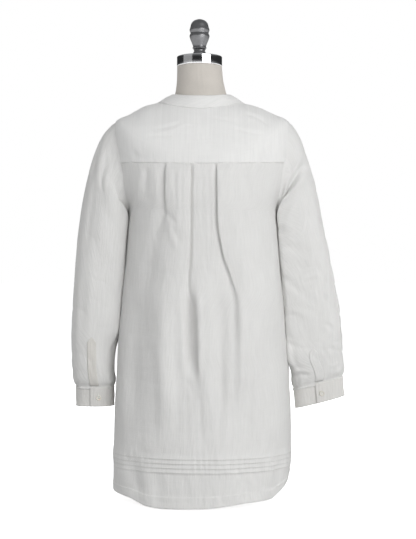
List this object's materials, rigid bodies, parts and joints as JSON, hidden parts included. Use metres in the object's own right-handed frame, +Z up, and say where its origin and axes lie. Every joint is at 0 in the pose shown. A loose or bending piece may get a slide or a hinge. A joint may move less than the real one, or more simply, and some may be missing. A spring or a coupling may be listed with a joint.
{
  "type": "smock on a limbless dress form",
  "caption": "White linen smock with long sleeves, band collar, yoke, soft back pleats and hem tucks, worn by a limbless dress form on a low round base.",
  "frame": {"origin": "centre of the round base plate's underside, on the floor", "axes": "+Z up. The garment's back faces -Y and its front +Y. The wearer's right is +X."},
  "size_m": [0.5879, 0.3036, 1.0283],
  "materials": {
    "linen": "matt white plain-weave linen",
    "button": "smooth off-white, like shell",
    "form_cloth": "matt beige-grey stretched cover",
    "bright_metal": "polished",
    "silver_paint": "satin silver grey",
    "wood": "plain board",
    "black_steel": "satin black"
  },
  "bodies": {
    "root": {"back_panel": "linen", "front_panel": "linen", "back_yoke": "linen", "collar_band": "linen", "sleeve_left": "linen", "sleeve_right": "linen", "cuff_left": "linen", "cuff_right": "linen", "sleeve_placket_left": "linen", "sleeve_placket_right": "linen", "front_placket": "linen", "cuff_button_left": "button", "cuff_button_right": "button", "front_button_1": "button", "front_button_2": "button", "front_button_3": "button", "front_button_4": "button", "form_body": "form_cloth", "neck_band": "bright_metal", "neck_cap": "silver_paint", "finial": "silver_paint", "base_disc": "wood", "column": "black_steel", "base_plate": "black_steel"}
  },
  "joints": []
}
